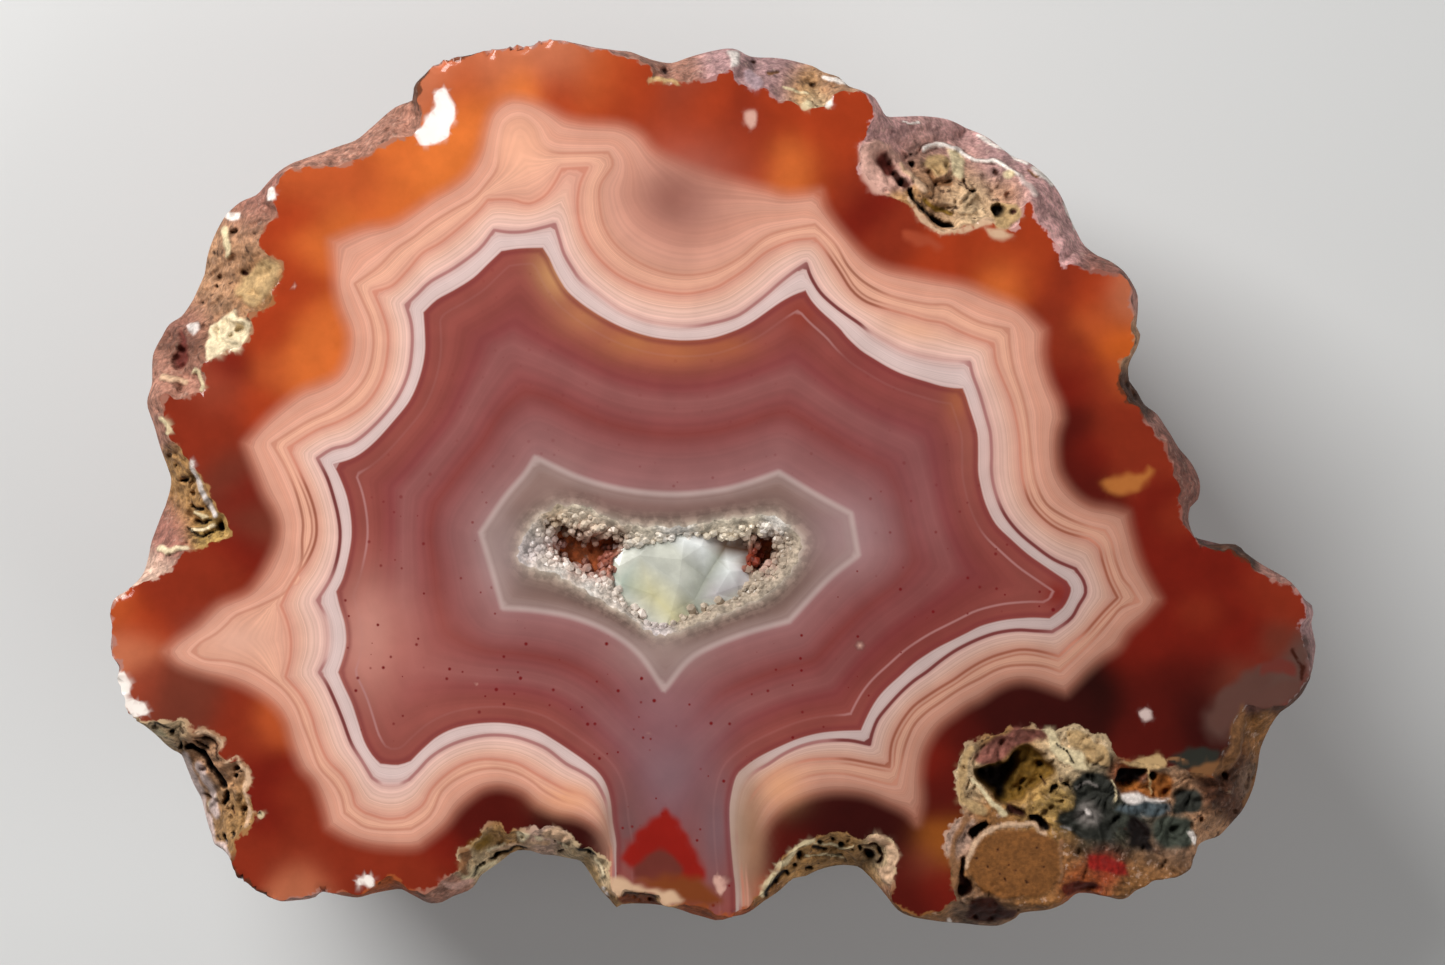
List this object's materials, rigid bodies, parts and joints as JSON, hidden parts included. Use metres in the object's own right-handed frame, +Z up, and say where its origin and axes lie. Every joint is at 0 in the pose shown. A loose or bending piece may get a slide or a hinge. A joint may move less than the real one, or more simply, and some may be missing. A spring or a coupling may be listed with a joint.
{
  "type": "agate nodule half with crystal-lined hollow",
  "caption": "Polished half of a red-orange banded agate nodule with a crystal-lined hollow, lying on its rough domed back.",
  "frame": {"origin": "middle of the footprint, on the surface that the stone lies on", "axes": "+Z up, normal to the polished face; +X along the longest direction of the face; +Y towards the top of the face"},
  "size_m": [0.0911, 0.067, 0.03],
  "materials": {
    "agate": "polished face with pink, white, maroon, orange and dark red bands; rough pitted skin and yellow-grey matrix",
    "quartz": "cream druse and a pale green-white, cloudy translucent crystal"
  },
  "bodies": {
    "root": {"agate_stone": "agate", "crystal_crust": "quartz"}
  },
  "joints": []
}
